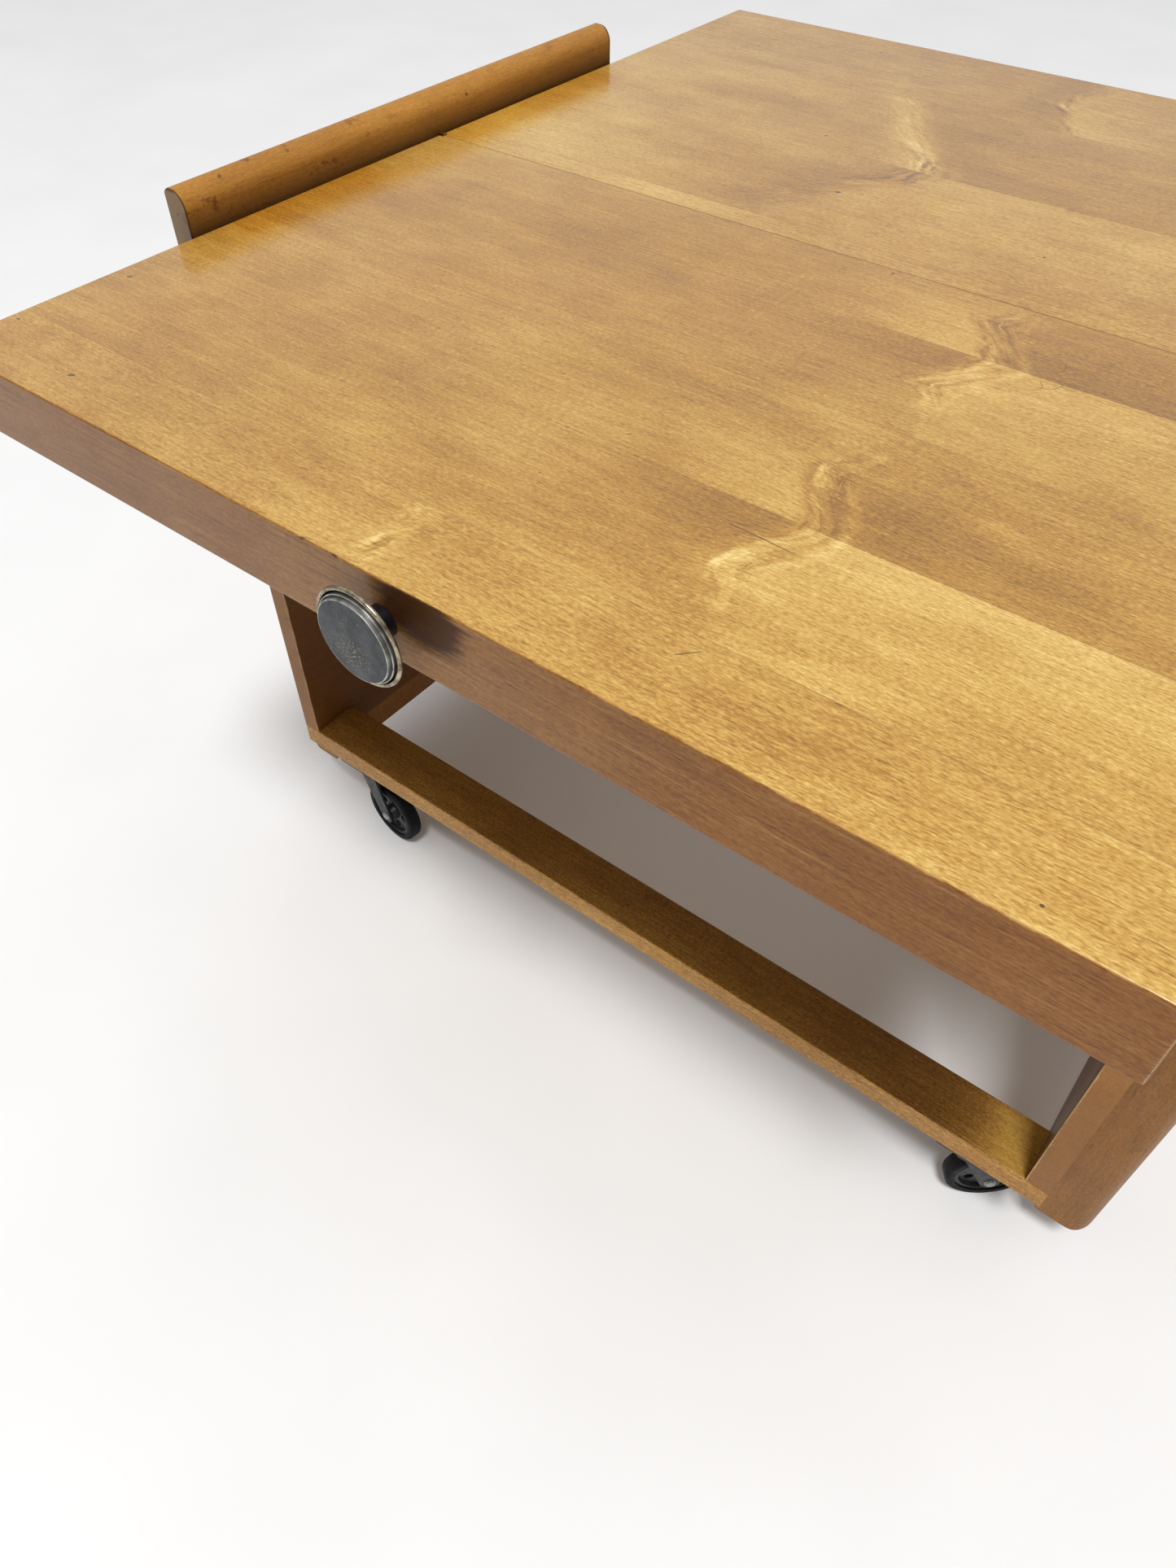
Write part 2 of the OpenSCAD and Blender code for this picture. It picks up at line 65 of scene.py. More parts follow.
class Nodes:
    """A material's node tree, built a node at a time."""

    def __init__(self, name):
        self.material = bpy.data.materials.new(name)
        self.material.use_nodes = True
        self.tree = self.material.node_tree
        self.tree.nodes.clear()
        self.output = self.tree.nodes.new("ShaderNodeOutputMaterial")
        self.shader = self.tree.nodes.new("ShaderNodeBsdfPrincipled")
        self.tree.links.new(self.shader.outputs["BSDF"], self.output.inputs["Surface"])

    def new(self, kind, **settings):
        """Adds a node with its settings."""
        node = self.tree.nodes.new(kind)
        for key, value in settings.items():
            setattr(node, key, value)
        return node

    def put(self, socket, value):
        """Links a socket, or sets a plain number, vector or colour, on an input."""
        if isinstance(value, bpy.types.NodeSocket):
            self.tree.links.new(value, socket)
        elif value is not None:
            if hasattr(socket.default_value, "__len__") and hasattr(value, "__len__"):
                value = list(value) + [1.0] * (len(socket.default_value) - len(value))
            socket.default_value = value

    def place(self):
        """Position in the shared frame at rest, which rides with the piece."""
        return self.new("ShaderNodeTexCoord").outputs["Object"]

    def split(self, vector):
        """The three parts of a vector."""
        node = self.new("ShaderNodeSeparateXYZ")
        self.put(node.inputs[0], vector)
        return node.outputs[0], node.outputs[1], node.outputs[2]

    def join(self, x, y, z):
        """A vector from three parts."""
        node = self.new("ShaderNodeCombineXYZ")
        for socket, value in zip(node.inputs, (x, y, z)):
            self.put(socket, value)
        return node.outputs[0]

    def math(self, operation, a, b=None):
        """One arithmetic step; a and b are numbers or sockets."""
        node = self.new("ShaderNodeMath", operation=operation)
        for socket, value in zip(node.inputs, (a, b)):
            self.put(socket, value)
        return node.outputs[0]

    def add(self, a, b):
        return self.math("ADD", a, b)

    def mul(self, a, b):
        return self.math("MULTIPLY", a, b)

    def absolute(self, a):
        """A number without its sign."""
        return self.math("ABSOLUTE", a)

    def squared(self, a):
        return self.math("POWER", a, 2.0)

    def rest(self, a):
        """What is left of one."""
        return self.add(1.0, self.mul(a, -1.0))

    def noise(self, vector, scale=1.0, detail=2.0, roughness=0.5):
        """Noise about zero, from about -0.5 to 0.5."""
        node = self.new("ShaderNodeTexNoise")
        self.put(node.inputs["Vector"], vector)
        self.put(node.inputs["Scale"], scale)
        self.put(node.inputs["Detail"], detail)
        self.put(node.inputs["Roughness"], roughness)
        return self.add(node.outputs["Fac"], -0.5)

    def cells(self, vector, scale):
        """Voronoi cells: distance to the nearest point, and a random number for the cell."""
        node = self.new("ShaderNodeTexVoronoi")
        self.put(node.inputs["Vector"], vector)
        self.put(node.inputs["Scale"], scale)
        random_part = self.new("ShaderNodeSeparateColor")
        self.put(random_part.inputs[0], node.outputs["Color"])
        return node.outputs["Distance"], random_part.outputs[0]

    def between(self, value, low, high, out_low=0.0, out_high=1.0):
        """Smooth step of value from low to high."""
        node = self.new("ShaderNodeMapRange", interpolation_type="SMOOTHSTEP")
        for name, number in (("Value", value), ("From Min", low), ("From Max", high),
                             ("To Min", out_low), ("To Max", out_high)):
            self.put(node.inputs[name], number)
        return node.outputs["Result"]

    def curve(self, value, points):
        """A smooth curve through (value, result) points, in metres."""
        low, high = points[0][0], points[-1][0]
        results = [result for _, result in points]
        floor = min(results)
        span = max(max(results) - floor, 1e-6)
        node = self.new("ShaderNodeFloatCurve")
        shape = node.mapping.curves[0]
        while len(shape.points) < len(points):
            shape.points.new(0.5, 0.5)
        for point, (place, result) in zip(shape.points, points):
            point.location = ((place - low) / (high - low), (result - floor) / span)
        node.mapping.update()
        self.put(node.inputs["Value"], self.mul(self.add(value, -low), 1 / (high - low)))
        return self.add(self.mul(node.outputs[0], span), floor)

    def stretched(self, vector, scale):
        """A vector with each part scaled by its own number."""
        node = self.new("ShaderNodeVectorMath", operation="MULTIPLY")
        self.put(node.inputs[0], vector)
        self.put(node.inputs[1], scale)
        return node.outputs[0]

    def ramp(self, value, stops):
        """Colours along a value; stops are (position, (r, g, b))."""
        node = self.new("ShaderNodeValToRGB")
        self.put(node.inputs[0], value)
        elements = node.color_ramp.elements
        while len(elements) < len(stops):
            elements.new(0.5)
        for element, (position, colour) in zip(elements, stops):
            element.position = position
            element.color = (*colour, 1.0)
        return node.outputs["Color"]

    def mix(self, amount, a, b, blend="MIX"):
        """Colour a turned by an amount into colour b."""
        node = self.new("ShaderNodeMix", data_type="RGBA", blend_type=blend)
        self.put(node.inputs["Factor"], amount)
        self.put(node.inputs[6], a)
        self.put(node.inputs[7], b)
        return node.outputs[2]

    def tint(self, amount, colour, by):
        """A colour multiplied by another, as far as an amount says."""
        return self.mix(amount, colour, self.mix(1.0, colour, by, "MULTIPLY"))

    def bump(self, height, distance):
        """Fine relief: a height without unit, and the distance in metres that one unit stands for."""
        node = self.new("ShaderNodeBump")
        self.put(node.inputs["Height"], height)
        node.inputs["Distance"].default_value = distance
        node.inputs["Strength"].default_value = 1.0
        self.put(self.shader.inputs["Normal"], node.outputs["Normal"])

    def surface(self, **values):
        """Sets the shader's own sockets by name."""
        for name, value in values.items():
            self.put(self.shader.inputs[name.replace("_", " ")], value)


def linear(red, green, blue):
    """A colour given as display values from 0 to 255, as linear numbers."""
    shares = [c / 255 for c in (red, green, blue)]
    return tuple(((c + 0.055) / 1.055) ** 2.4 if c > 10 / 255 else c / 12.92 for c in shares)


# ---- wood ----

AMBER = [(0.0, linear(90, 52, 14)), (0.3, linear(146, 100, 30)), (0.5, linear(178, 129, 47)),
         (0.72, linear(207, 166, 82)), (1.0, linear(238, 210, 136))]
RUSSET = [(0.0, linear(58, 32, 10)), (0.35, linear(114, 72, 26)), (0.6, linear(150, 100, 40)),
          (1.0, linear(196, 148, 74))]
# the rails' wood, made dark as painted shade for their tops under the leaf
UMBER = [(0.0, linear(44, 24, 6)), (0.35, linear(88, 56, 18)), (0.6, linear(128, 88, 34)),
         (1.0, linear(184, 144, 66))]
PLAIN = [(0.0, linear(146, 100, 52)), (0.5, linear(190, 146, 88)), (1.0, linear(220, 182, 126))]
MARK = linear(70, 38, 14)
SEAM_HALF = 0.0004
# a face's own colour is whole within SKIN of it and gone at SKIN_FADE
SKIN = 0.0004
SKIN_FADE = 0.0012
# a dent's share of the bump height
DENT_DEPTH = -6.0
# grain layers: scale along, scale across, detail, roughness, and the tone each adds
STREAK = (3.0, 58.0, 4, 0.6, 0.13)
FINE = (22.0, 420.0, 4, 0.6, 0.35)
MOTTLE = (50.0, 110.0, 3, 0.7, 0.11)
SPECKLE = (260.0, 900.0, 2, 0.6, 0.60)
PORES = (80.0, 900.0, 1, 0.6, -0.13)
DRIFT = (3.4, 8.0, 3, 0.6, 0.36)


def grain(n, along, across, through, seed, contrast=1.0):
    """Streaks, pores, mottle and slow drift of lacquered wood. Returns (tone about 0.5, fine height)."""
    shift = seed * 7.13
    warp_at = n.join(n.mul(along, 2.2), n.mul(across, 5.0), n.add(n.mul(through, 5.0), shift))
    bent = n.add(across, n.mul(n.noise(warp_at, 1.0, 2), 0.03))

    def layer(long_scale, cross_scale, detail, roughness, _amount):
        """One noise, stretched along the grain."""
        deep = n.add(n.mul(through, cross_scale), shift)
        at = n.join(n.mul(along, long_scale), n.mul(bent, cross_scale), deep)
        return n.noise(at, 1.0, detail, roughness)

    fine = layer(*FINE)
    pores = n.between(layer(*PORES), 0.1, 0.2)
    tone = n.mul(fine, FINE[-1])
    for part, amount in ((layer(*STREAK), STREAK[-1]), (layer(*MOTTLE), MOTTLE[-1]),
                         (layer(*SPECKLE), SPECKLE[-1]), (pores, PORES[-1])):
        tone = n.add(tone, n.mul(part, amount))
    tone = n.add(n.mul(tone, contrast), n.mul(layer(*DRIFT), DRIFT[-1]))
    return n.add(tone, 0.5), n.add(n.mul(fine, 0.5), n.mul(pores, -0.5))


def folds(n, side, away, seed):
    """Curly figure: short slanted folds, and the thin creases between them."""
    bend = n.noise(n.join(n.mul(side, 30.0), n.mul(away, 30.0), seed + 1.0), 1.0, 2)
    across = n.add(n.add(n.mul(side, 0.94), n.mul(away, 0.34)), n.mul(bend, 0.014))
    along = n.add(n.mul(away, 0.94), n.mul(side, -0.34))
    fold = n.noise(n.join(n.mul(across, 150.0), n.mul(along, 30.0), seed + 3.0), 1.0, 2, 0.5)
    crease = n.noise(n.join(n.mul(across, 90.0), n.mul(along, 24.0), seed + 8.0), 1.0, 1)
    return fold, n.between(n.absolute(crease), 0.03, 0.0)


def bell(n, value, width):
    """1 at zero, falling smoothly on both sides."""
    return n.math("POWER", math.e, n.mul(n.squared(n.mul(value, 1 / width)), -1.0))


def stripes(n, side, places):
    """Soft lines beside a feather: (distance from it, half width, tone)."""
    total = 0.0
    for offset, width, tone in places:
        total = n.add(total, n.mul(bell(n, n.add(side, -offset), width), tone))
    return total


SPINE = [(0.006, 0.004, 0.13), (0.0, 0.0022, -0.17)]
SECOND_FOLD = [(0.031, 0.005, 0.13), (0.021, 0.007, -0.10)]


def feather(n, x, away, figure, seed):
    """A crotch figure beside a matched seam. Returns (tone change, fine height, push across the grain)."""
    wobble = n.noise(n.join(n.mul(x, 14.0), n.mul(away, 34.0), seed), 1.0, 3, 0.6)
    line_x = n.add(n.curve(away, figure["line"]), n.mul(wobble, 0.022))
    side = n.add(x, n.mul(line_x, -1.0))
    fade = n.between(away, figure["reach"], figure["full"], figure["far"], 1.0)
    width = figure["width"]
    right = n.between(side, -width * 0.5, width)
    left = n.between(side, width * 0.3, -width)
    left_broad = n.between(side, -figure["left"], -width, 0.15, 1.0)
    right_broad = n.between(side, figure["right"], width, 0.35, 1.0)
    lit = n.add(n.mul(n.mul(right, right_broad), figure["lit_right"]),
                n.mul(n.mul(left, left_broad), figure["lit_left"]))
    tone = n.mul(lit, fade)
    fold, crease = folds(n, side, away, seed)
    cluster = n.mul(bell(n, n.add(side, -figure["centre"]), figure["band"]), fade)
    eye_away, eye_size = figure["eye"]
    eye = n.mul(bell(n, n.add(side, -figure["centre"]), figure["band"] * 0.6),
                bell(n, n.add(away, -eye_away), eye_size))
    strength = n.add(n.mul(cluster, 0.55), n.mul(eye, 0.75))
    relief = n.mul(n.add(fold, n.mul(crease, -0.16)), strength)
    tone = n.add(tone, n.mul(relief, 1.15))
    tone = n.add(tone, n.mul(cluster, figure["glow"]))
    broken = n.between(n.noise(n.join(n.mul(x, 30.0), n.mul(away, 60.0), seed + 5.0), 1.0, 2), -0.2, 0.1)
    spine = stripes(n, side, SPINE)
    second = n.mul(stripes(n, side, SECOND_FOLD), n.between(away, 0.075, 0.035))
    lines = n.mul(n.add(spine, second), n.mul(broken, fade))
    tone = n.add(tone, n.mul(lines, figure["lines"]))
    push = n.mul(n.mul(n.math("TANH", n.mul(side, 1 / 0.02)), fade), 0.004)
    return tone, n.mul(relief, 3.0), push


def spots(n, x, y, places, colour, dark=MARK, strength=0.85):
    """Small dark marks at (x, y, half length, half width, slant)."""
    for spot_x, spot_y, length, width, slant in places:
        dx = n.add(x, -spot_x)
        dy = n.add(n.add(y, -spot_y), n.mul(dx, -slant))
        rough_edge = n.mul(n.noise(n.join(n.mul(x, 700.0), n.mul(y, 700.0), 0.0), 1.0, 2), 0.9)
        distance = n.add(n.squared(n.mul(dx, 1.4 / length)), n.squared(n.mul(dy, 1.4 / width)))
        inside = n.between(n.add(distance, rough_edge), 1.1, 0.5)
        colour = n.mix(n.mul(inside, strength), colour, dark)
    return colour


def scratches(n, x, y, arcs, colour):
    """Hairline arcs: (centre x, centre y, radius, direction the arc faces in degrees)."""
    for centre_x, centre_y, radius, facing in arcs:
        dx = n.add(x, -centre_x)
        dy = n.add(y, -centre_y)
        wander = n.mul(n.noise(n.join(n.mul(x, 160.0), n.mul(y, 160.0), 2.0), 1.0, 2), 0.003)
        reach = n.math("SQRT", n.add(n.squared(dx), n.squared(dy)))
        turn = math.radians(facing)
        ahead = n.add(n.mul(dx, math.cos(turn)), n.mul(dy, math.sin(turn)))
        hair = n.mul(bell(n, n.add(n.add(reach, wander), -radius), 0.00035),
                     n.between(ahead, radius * 0.35, radius * 0.6))
        colour = n.mix(n.mul(hair, 0.7), colour, MARK)
    return colour


def plank_material(name, low_y, high_y, look, front=False):
    """One plank of the top. Planks matched across a seam share a seed and mirror each other about it."""
    n = Nodes(name)
    place = n.place()
    x, y, z = n.split(place)
    away = n.absolute(n.add(y, -look["matched"]))
    bent, extra, ripple_height = away, 0.0, 0.0
    if look.get("figure"):
        extra, ripple_height, push = feather(n, x, away, look["figure"], look["seed"])
        bent = n.add(away, push)
    open_grain = n.between(n.add(x, n.mul(y, -0.3)), -0.2, 0.6, 1.0, 1.35)
    tone, height = grain(n, x, bent, z, look["seed"], open_grain)
    cloud = n.noise(n.join(n.mul(x, 3.0), n.mul(y, 3.5), 4.4), 1.0, 3, 0.6)
    puff = n.noise(n.join(n.mul(x, 13.0), n.mul(y, 19.0), 9.1), 1.0, 2, 0.5)
    # slow changes set from the photo: paler to the front right, and painted glare by the left bar on the far
    # leaf
    paler_front_right = n.between(n.add(x, n.mul(y, -0.6)), 0.1, 0.75, 0.0, 0.10)
    glare_by_bar = n.mul(n.between(x, -0.1, -0.42), n.between(y, SEAM_Y - 0.1, SEAM_Y + 0.1, 0.0, 0.17))
    glare_by_bar = n.mul(glare_by_bar, n.between(y, BACK_Y - 0.05, BACK_Y - 0.30))
    tone = n.add(n.add(tone, n.add(extra, look["tone"])), n.add(n.mul(cloud, 0.24), n.add(paler_front_right, glare_by_bar)))
    tone = n.add(tone, n.mul(puff, 0.22))
    colour = n.ramp(tone, AMBER)
    # wood colour that stands for the left bar's reflection: it stays on the wood when the leaf moves
    bar_glow = n.mul(n.between(x, BAR_X + 0.052, BAR_X + 0.030),
                     n.between(n.absolute(y), BAR_HALF, BAR_HALF - 0.05))
    if high_y < SEAM_Y + 0.001:
        bar_glow = n.mul(bar_glow, n.between(y, SEAM_Y - 0.07, SEAM_Y - 0.13))
    colour = n.tint(n.mul(bar_glow, 0.85), colour, (0.96, 0.76, 0.26))
    seam = n.math("MINIMUM", n.absolute(n.add(y, -low_y)), n.absolute(n.add(y, -high_y)))
    colour = n.mix(n.between(seam, SEAM_HALF * 2.0, SEAM_HALF * 0.5, 0.0, 0.28), colour, linear(112, 70, 28))
    dents = nicks(n, n.stretched(place, (1.0, 2.0, 2.0)), 21.0, 0.10, 0.03)
    colour = n.mix(n.mul(dents, 0.6), colour, MARK)
    colour = spots(n, x, y, look.get("knots", ()), colour, linear(112, 70, 30), 0.55)
    colour = spots(n, x, y, look.get("marks", ()), colour)
    colour = scratches(n, x, y, look.get("arcs", ()), colour)
    ends = n.between(n.absolute(x), LEAF_HIGH.x - SKIN_FADE, LEAF_HIGH.x - SKIN)
    colour = n.tint(n.mul(ends, 0.8), colour, linear(120, 98, 80))
    coat = n.between(ends, 0.0, 1.0, 1.0, 0.0)
    if front:
        colour, coat = front_edge(n, place, colour, coat)
    n.surface(Base_Color=colour, Roughness=n.between(n.noise(place, 8.0, 4, 0.6), -0.3, 0.3, 0.42, 0.6),
              IOR=1.3, Coat_Weight=coat, Coat_Roughness=0.17, Coat_IOR=1.5)
    n.bump(n.add(n.add(height, ripple_height), n.mul(dents, DENT_DEPTH)), 0.0001)
    return n.material


def front_edge(n, place, colour, coat):
    """The front plank's face: darker and browner than the top, partly its own colour and partly painted
    shade; rubbed along its arris; dark beside the knob with painted shadow and grime.
    """
    x, y, z = n.split(place)
    on_face = n.between(y, FRONT_Y + SKIN_FADE, FRONT_Y + SKIN)
    streak = n.noise(n.join(n.mul(x, 9.0), 3.0, n.mul(z, 420.0)), 1.0, 4, 0.65)
    rightward = n.between(x, -0.15, 0.45)
    # painted shade: the face is made darker and browner than the top, warmer to the right, partly its own
    # colour
    brown = n.mix(rightward, linear(198, 176, 158), linear(184, 148, 116))
    darker = n.mix(1.0, colour, brown, "MULTIPLY")
    darker = n.mix(n.between(streak, -0.02, -0.24, 0.0, 0.7), darker, linear(74, 40, 14))
    darker = n.mix(n.between(streak, 0.04, 0.24, 0.0, 0.45), darker, linear(190, 146, 92))
    colour = n.mix(n.mul(on_face, 0.95), colour, darker)
    # painted shadow of the knob together with grime: dark beside the knob, up and to its right; it also dulls
    # the coat there
    shadow_grime_x, shadow_grime_z = KNOB.x + 0.032, TOP_Z - 0.014
    beside_knob = n.mul(bell(n, n.add(x, -shadow_grime_x), 0.035), bell(n, n.add(z, -shadow_grime_z), 0.026))
    blotch = n.noise(n.stretched(place, (16.0, 16.0, 150.0)), 1.0, 4, 0.65)
    shadow_and_grime = n.between(n.add(beside_knob, n.mul(blotch, 0.9)), 0.22, 0.62)
    shadow_and_grime = n.mul(n.mul(shadow_and_grime, n.between(beside_knob, 0.05, 0.3)), on_face)
    colour = n.mix(n.mul(shadow_and_grime, 0.88), colour, linear(48, 20, 3))
    edge = n.math("MAXIMUM", n.add(y, -FRONT_Y), n.add(TOP_Z, n.mul(z, -1.0)))
    chip = n.noise(n.join(n.mul(x, 60.0), n.mul(y, 160.0), n.mul(z, 160.0)), 1.0, 3, 0.7)
    worn = n.between(n.add(edge, n.mul(chip, -0.004)), 0.0011, 0.0002)
    colour = n.mix(n.mul(worn, n.between(x, -0.1, 0.3, 0.15, 0.5)), colour, linear(214, 170, 100))
    bruise = n.noise(n.join(n.mul(x, 34.0), n.mul(y, 70.0), n.mul(z, 70.0)), 1.0, 3)
    near_edge = n.between(edge, 0.005, 0.001, 0.0, 0.85)
    colour = n.mix(n.mul(n.between(bruise, 0.19, 0.24), near_edge), colour, MARK)
    face_coat = n.mul(n.between(rightward, 0.0, 1.0, 0.40, 0.20), n.between(shadow_and_grime, 0.0, 1.0, 1.0, 0.05))
    face_coat = n.mul(n.mul(on_face, face_coat), n.between(coat, 0.0, 1.0))
    return colour, n.add(n.mul(coat, n.rest(on_face)), face_coat)


def timber(name, grain_axis, seed, stops, tone_shift=0.0, panel=None, coat=0.25, glow=None, edge_y=None,
           contrast=0.8):
    """Lacquered wood with its grain along one axis.

    panel is the side of an end panel, for its painted light and shade and its worn places; glow is (x, width,
    tone) of a golden patch of painted light, with a darker dip of painted shade beside it;
    edge_y is where a rail's outer face is, painted paler than its shaded top.
    """
    n = Nodes(name)
    place = n.place()
    xyz = n.split(place)
    order = {"x": (0, 1, 2), "y": (1, 0, 2), "z": (2, 1, 0)}[grain_axis]
    along, across, through = (xyz[i] for i in order)
    tone, height = grain(n, along, across, through, seed, contrast)
    tone = n.add(tone, tone_shift)
    on_edge = n.between(n.absolute(n.add(xyz[1], -edge_y)), SKIN_FADE, SKIN) if edge_y else 0.0
    if glow:
        centre, width, amount = glow
        # a golden patch of painted light, and to its left a darker dip of painted shade
        patch = n.add(n.mul(bell(n, n.add(xyz[0], -centre), width), amount),
                      n.mul(bell(n, n.add(xyz[0], 2.4 * width - centre), width * 1.5), amount * -0.6))
        tone = n.add(tone, n.mul(patch, n.rest(on_edge)))
    colour = n.ramp(tone, stops)
    if panel:
        colour = panel_wear(n, place, colour, panel)
    # painted light: a rail's outer face made paler than its shaded top
    if edge_y:
        colour = n.tint(n.mul(on_edge, 0.6), colour, (2.4, 2.5, 2.7))
    dents = nicks(n, place, 22.0, 0.22, 0.05)
    colour = n.mix(n.mul(dents, 0.7), colour, MARK)
    smudge = n.noise(n.stretched(place, (30.0, 12.0, 30.0)), 1.0, 4, 0.7)
    colour = n.mix(n.between(smudge, 0.14, 0.24, 0.0, 0.35), colour, MARK)
    n.surface(Base_Color=colour, Roughness=n.between(n.noise(place, 9.0, 3), -0.3, 0.3, 0.42, 0.62),
              IOR=1.3, Coat_Weight=coat, Coat_Roughness=0.24, Coat_IOR=1.4)
    n.bump(n.add(height, n.mul(dents, DENT_DEPTH)), 0.0001)
    return n.material


def panel_wear(n, place, colour, side):
    """An end panel: shaded inside, painted paler above the top as lit, with painted shade along it, a grey
    end above it that is painted reflection, and rubbed on its arrises.
    """
    sign = -1 if side == "left" else 1
    low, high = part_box(f"end_panel_{side}")
    inner_x = high.x if side == "left" else low.x
    x, y, z = n.split(place)
    depth = n.mul(n.add(x, -inner_x), sign)
    under_top = n.between(z, TOP_Z + 0.002, TOP_Z - 0.02)
    shade = n.mul(n.between(depth, 0.0006, 0.0001), under_top)
    colour = n.tint(n.mul(shade, 0.75), colour, linear(140, 120, 104))
    above = n.between(z, TOP_Z - 0.035, TOP_Z + 0.002)
    # painted light: the panel above the top made paler than the shaded part below it
    colour = n.tint(n.mul(above, 0.9), colour, (1.62, 1.75, 1.6))
    # painted shade along the foot of the bar's inner side, just above the top
    junction_shade = n.mul(n.between(z, TOP_Z + 0.030, TOP_Z - 0.002), n.mul(above, n.between(depth, 0.018, 0.002)))
    colour = n.tint(n.mul(junction_shade, 0.9), colour, linear(118, 104, 88))
    end = n.between(n.absolute(y), -low.y - SKIN_FADE, -low.y - SKIN)
    outline = n.between(n.absolute(n.add(n.absolute(y), low.y + SKIN_FADE)), SKIN_FADE, SKIN)
    # painted reflection: the end above the top made grey
    colour = n.mix(n.mul(n.mul(above, end), 0.8), colour, linear(118, 102, 82))
    colour = n.mix(n.mul(n.mul(above, outline), 0.8), colour, linear(60, 32, 12))
    bruise = n.noise(n.join(n.mul(x, 60.0), n.mul(y, 46.0), n.mul(z, 60.0)), 1.0, 3, 0.6)
    handled = n.mul(above, n.between(y, 0.0, low.y * 0.6, 0.15, 1.0))
    colour = n.mix(n.mul(n.between(bruise, 0.10, 0.17), n.mul(handled, 0.7)), colour, linear(92, 52, 18))
    to_arris = n.math("MAXIMUM", n.absolute(depth), n.add(y, -low.y))
    chip = n.noise(n.stretched(place, (160.0, 160.0, 50.0)), 1.0, 3, 0.7)
    rubbed = n.mul(n.between(n.add(to_arris, n.mul(chip, -0.004)), 0.0014, 0.0004), under_top)
    return n.mix(n.mul(rubbed, 0.55), colour, linear(206, 168, 112))


def nicks(n, place, scale, chance, size):
    """Small round dents, in a chosen share of the Voronoi cells."""
    distance, pick = n.cells(place, scale)
    return n.mul(n.between(distance, size, size * 0.4), n.between(pick, 1 - chance, 1 - chance + 0.01))


# ---- metal, rubber ----

def metal(name, colour, dark, roughness, scale, metallic=1.0, wear=0.5):
    """Aged metal or enamel: cloudy colour, small worn spots, uneven gloss."""
    n = Nodes(name)
    place = n.place()
    cloud = n.noise(place, scale, 4, 0.6)
    speck = n.between(n.noise(place, scale * 9, 3, 0.7), 0.12, 0.26)
    tone = n.mix(n.between(cloud, -0.22, 0.22), dark, colour)
    lighter = [min(1.0, c * 1.9 + 0.03) for c in colour]
    tone = n.mix(n.mul(speck, wear), tone, lighter)
    n.surface(Base_Color=tone, Metallic=metallic,
              Roughness=n.between(n.noise(place, scale * 3, 3), -0.3, 0.3, roughness * 0.75, roughness * 1.3))
    n.bump(n.add(cloud, n.mul(speck, -0.4)), 0.00008)
    return n.material


def rubber(name):
    """Dusty black rubber."""
    n = Nodes(name)
    place = n.place()
    dust = n.between(n.noise(place, 60.0, 4, 0.7), -0.05, 0.3)
    n.surface(Base_Color=n.mix(n.mul(dust, 0.35), linear(4, 4, 5), linear(15, 15, 16)), IOR=1.3,
              Roughness=n.between(n.noise(place, 90.0, 2), -0.3, 0.3, 0.5, 0.75))
    n.bump(n.noise(place, 400.0, 3), 0.0001)
    return n.material


def dress(node, material):
    """Gives a carried-over CAD node its material, in every slot."""
    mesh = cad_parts[node].data
    mesh.materials.clear()
    mesh.materials.append(material)


# ---- the top ----

near_y = [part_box(p)[0].y for p in NEAR_PLANKS] + [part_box(NEAR_PLANKS[-1])[1].y]
far_y = [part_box(p)[0].y for p in FAR_PLANKS] + [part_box(FAR_PLANKS[-1])[1].y]
NEAR_LINE = [(0.0, 0.158), (0.020, 0.149), (0.045, 0.138), (0.060, 0.133), (0.074, 0.144), (0.100, 0.155),
             (0.128, 0.165)]
FAR_LINE = [(0.0, -0.036), (0.030, -0.048), (0.090, -0.088), (0.175, -0.134)]
BACK_LINE = [(0.0, 0.026), (0.050, 0.004), (0.085, -0.012), (0.140, 0.006), (0.164, 0.010)]
FRONT_LINE = [(0.0, -0.020), (0.030, -0.030), (0.071, -0.022)]
# line: (distance from the seam, x) along the feather; reach, full: where it has faded to far, and is whole
# width: half the turn from one side to the other; left, right: how far each side's tone (lit) carries
# centre, band: the curly folds' place and half width; eye: where they are strongest, and how widely
# glow: the tone of their band; lines: how strong the thin lines are
DARK_LEFT = {"line": NEAR_LINE, "reach": 0.110, "full": 0.020, "far": 0.22, "width": 0.014, "centre": 0.014,
             "band": 0.021, "eye": (0.057, 0.015), "glow": 0.03, "left": 0.14, "right": 0.42,
             "lit_left": -0.17, "lit_right": 0.13, "lines": 1.0}
PALE_LEFT = {**DARK_LEFT, "left": 0.11, "lit_left": 0.13, "lit_right": -0.15, "glow": 0.09}
FAR_PALE = {"line": FAR_LINE, "reach": 0.200, "full": 0.03, "far": 0.6, "width": 0.016, "centre": -0.004,
            "band": 0.025, "eye": (0.018, 0.016), "glow": 0.22, "left": 0.12, "right": 0.12,
            "lit_left": 0.02, "lit_right": -0.09, "lines": 0.5}
FAR_DARK = {**FAR_PALE, "far": 0.3, "width": 0.030, "glow": -0.09, "right": 0.6,
            "lit_left": -0.03, "lit_right": 0.10, "lines": 0.0}
BACK_PALE = {"line": BACK_LINE, "reach": 0.200, "full": 0.05, "far": 0.8, "width": 0.020, "centre": 0.004,
             "band": 0.010, "eye": (0.070, 0.012), "glow": -0.04, "left": 0.05, "right": 0.12,
             "lit_left": -0.07, "lit_right": 0.15, "lines": 0.0}
FRONT_PALE = {"line": FRONT_LINE, "reach": 0.09, "full": 0.0, "far": 0.6, "width": 0.008, "centre": 0.0,
              "band": 0.012, "eye": (0.05, 0.010), "glow": 0.10, "left": 0.05, "right": 0.05,
              "lit_left": 0.0, "lit_right": -0.04, "lines": 0.3}
